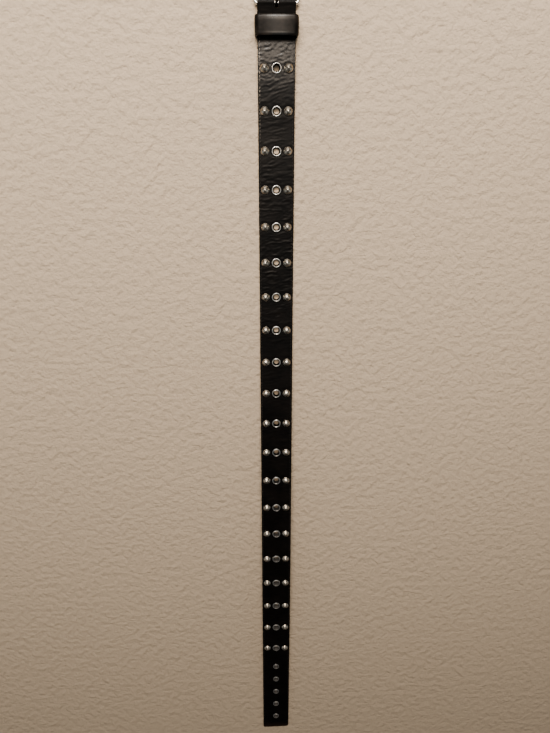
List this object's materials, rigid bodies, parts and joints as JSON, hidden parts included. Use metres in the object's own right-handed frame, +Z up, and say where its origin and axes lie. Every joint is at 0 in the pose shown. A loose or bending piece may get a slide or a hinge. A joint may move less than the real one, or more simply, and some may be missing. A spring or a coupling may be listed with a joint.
{
  "type": "studded belt",
  "caption": "Opened-out black leather belt with rows of domed studs and open eyelets, a keeper loop and a plain wire frame buckle with a prong.",
  "frame": {"origin": "middle of the belt's length and width, on the surface that it lies on", "axes": "+Y from the tip towards the buckle, +X across the strap, +Z up out of the studded face"},
  "size_m": [0.0456, 1.003, 0.0174],
  "materials": {
    "strap_leather": "glossy black leather with coarse crosswise wrinkles, painted edges and an edge stitch",
    "keeper_leather": "smooth semi-gloss black leather",
    "stud_metal": "warm antique silver, slightly worn",
    "eyelet_metal": "bright silver, polished",
    "buckle_metal": "polished nickel"
  },
  "bodies": {
    "belt_body": {"strap": "strap_leather", "keeper": "keeper_leather", "eyelet_1": "eyelet_metal", "eyelet_2": "eyelet_metal", "eyelet_3": "eyelet_metal", "eyelet_4": "eyelet_metal", "eyelet_5": "eyelet_metal", "stud_left_1": "stud_metal", "stud_right_1": "stud_metal", "stud_left_2": "stud_metal", "stud_right_2": "stud_metal", "stud_left_3": "stud_metal", "stud_right_3": "stud_metal", "stud_left_4": "stud_metal", "stud_right_4": "stud_metal", "stud_left_5": "stud_metal", "stud_right_5": "stud_metal", "stud_left_6": "stud_metal", "stud_right_6": "stud_metal", "stud_left_7": "stud_metal", "stud_right_7": "stud_metal", "stud_left_8": "stud_metal", "stud_right_8": "stud_metal", "stud_left_9": "stud_metal", "stud_right_9": "stud_metal", "stud_left_10": "stud_metal", "stud_right_10": "stud_metal", "stud_left_11": "stud_metal", "stud_right_11": "stud_metal", "stud_left_12": "stud_metal", "stud_right_12": "stud_metal", "stud_left_13": "stud_metal", "stud_right_13": "stud_metal", "stud_left_14": "stud_metal", "stud_right_14": "stud_metal", "stud_left_15": "stud_metal", "stud_right_15": "stud_metal", "stud_left_16": "stud_metal", "stud_right_16": "stud_metal", "stud_left_17": "stud_metal", "stud_right_17": "stud_metal", "stud_left_18": "stud_metal", "stud_right_18": "stud_metal", "stud_left_19": "stud_metal", "stud_right_19": "stud_metal", "stud_left_20": "stud_metal", "stud_right_20": "stud_metal"},
    "frame_body": {"buckle_frame": "buckle_metal"},
    "prong_body": {"prong": "buckle_metal"}
  },
  "joints": [
    {"name": "frame_hinge", "type": "hinge", "parent": "belt_body", "child": "frame_body", "pos_m": [0, 0.45695, 0.00475], "axis": [1, 0, 0], "range_deg": [-50, 35]},
    {"name": "prong_hinge", "type": "hinge", "parent": "frame_body", "child": "prong_body", "pos_m": [0, 0.45695, 0.00475], "axis": [1, 0, 0], "range_deg": [0, 90]}
  ]
}
